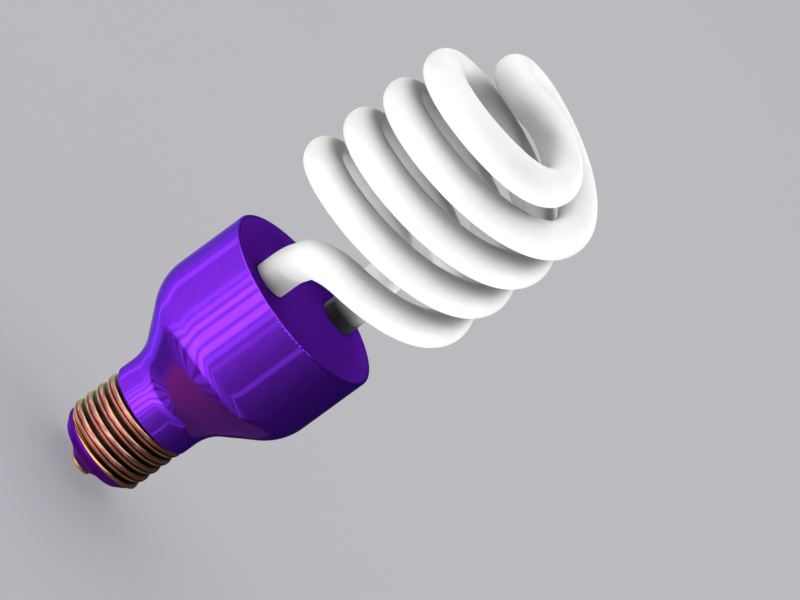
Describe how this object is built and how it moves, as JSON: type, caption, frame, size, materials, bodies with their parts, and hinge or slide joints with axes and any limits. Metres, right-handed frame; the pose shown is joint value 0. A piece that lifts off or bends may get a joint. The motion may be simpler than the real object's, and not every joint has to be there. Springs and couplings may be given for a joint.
{
  "type": "compact fluorescent bulb",
  "caption": "Compact fluorescent bulb: a white double-spiral tube on a violet ogee housing that holds the ballast, with a copper-toned screw cap and a centre contact.",
  "frame": {"origin": "middle of the centre contact's face, at the foot of the screw cap", "axes": "+Z along the bulb's axis from the contact to the top of the spiral; the tube's legs stand in the plane at 55 degrees from +X"},
  "size_m": [0.0616, 0.0618, 0.1568],
  "materials": {
    "tube_glass": "white lined glass, gloss",
    "housing_plastic": "polished violet moulding",
    "plate_plastic": "darker violet moulding, satin gloss",
    "cap_metal": "rolled copper-toned sheet, bright",
    "insulator_plastic": "violet moulding",
    "contact_metal": "bright",
    "cement": "matt",
    "board_laminate": "resin laminate",
    "can_sleeve": "shrunk sleeve",
    "ferrite": "ground, matt",
    "bobbin_plastic": "moulded",
    "copper_wire": "enamelled copper",
    "film_dip": "dipped resin",
    "black_moulding": "moulded resin",
    "diac_glass": "coloured glass",
    "resistor_coat": "lacquer",
    "lead_sleeve": "sleeving",
    "tinned_wire": "tinned"
  },
  "bodies": {
    "root": {"discharge_tube": "tube_glass", "lower_housing": "housing_plastic", "tube_plate": "plate_plastic", "screw_shell": "cap_metal", "insulator": "insulator_plastic", "centre_contact": "contact_metal", "tube_cement": "cement", "ballast_board": "board_laminate", "bulk_capacitor": "can_sleeve", "inductor_core": "ferrite", "inductor_bobbin": "bobbin_plastic", "inductor_winding": "copper_wire", "toroid_core": "ferrite", "toroid_windings": "copper_wire", "drum_core": "ferrite", "drum_winding": "copper_wire", "resonant_capacitor": "film_dip", "dc_block_capacitor": "film_dip", "upper_transistor": "black_moulding", "lower_transistor": "black_moulding", "rectifier_diodes": "black_moulding", "trigger_diac": "diac_glass", "start_resistor": "resistor_coat", "fuse_resistor": "resistor_coat", "live_lead": "lead_sleeve", "neutral_lead": "lead_sleeve", "wire_posts": "tinned_wire", "filament_leads": "tinned_wire"}
  },
  "joints": []
}
